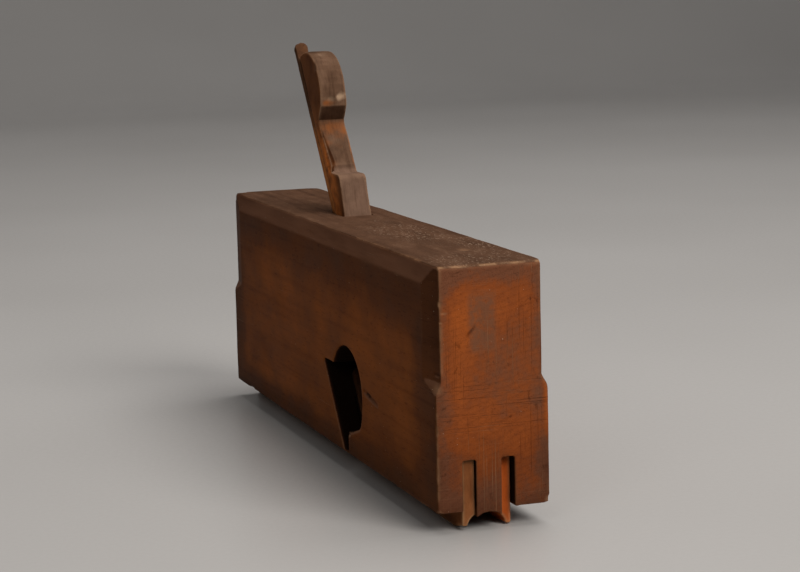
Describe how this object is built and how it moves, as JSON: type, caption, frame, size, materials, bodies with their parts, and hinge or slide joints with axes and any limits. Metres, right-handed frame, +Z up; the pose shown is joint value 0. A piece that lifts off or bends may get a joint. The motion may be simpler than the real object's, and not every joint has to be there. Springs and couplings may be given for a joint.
{
  "type": "moulding plane",
  "caption": "Wooden centre-bead moulding plane with boxed sole, side escapement, tanged iron and round-headed wedge.",
  "frame": {"origin": "under the middle of the stock, on the surface that the ridge of the sole stands on", "axes": "+Y from the toe to the heel, +X towards the blind side, +Z up through the top of the stock"},
  "size_m": [0.0386, 0.2414, 0.1492],
  "materials": {
    "beech": "old oiled beech, dark and handled, worn at the edges",
    "worn_beech": "dry greyish beech, bruised at the head and worn orange on the neck",
    "boxwood": "dense boxwood, smooth and oiled",
    "rusty_steel": "forged iron with an old brown rust skin"
  },
  "bodies": {
    "plane_stock": {"stock": "beech", "boxing_left_toe_1": "boxwood", "boxing_left_toe_2": "boxwood", "boxing_left_heel_1": "boxwood", "boxing_left_heel_2": "boxwood", "boxing_left_heel_3": "boxwood", "boxing_right_toe_1": "boxwood", "boxing_right_toe_2": "boxwood", "boxing_right_heel_1": "boxwood", "boxing_right_heel_2": "boxwood", "boxing_right_heel_3": "boxwood"},
    "wedge": {"wedge": "worn_beech"},
    "iron": {"iron": "rusty_steel"}
  },
  "joints": [
    {"name": "wedge_slide", "type": "slide", "parent": "plane_stock", "child": "wedge", "axis": [0, 0.481, 0.8767], "range_m": [0, 0.115]},
    {"name": "iron_slide", "type": "slide", "parent": "plane_stock", "child": "iron", "axis": [0, 0.5948, 0.8039], "range_m": [-0.19, 0.0025]}
  ]
}
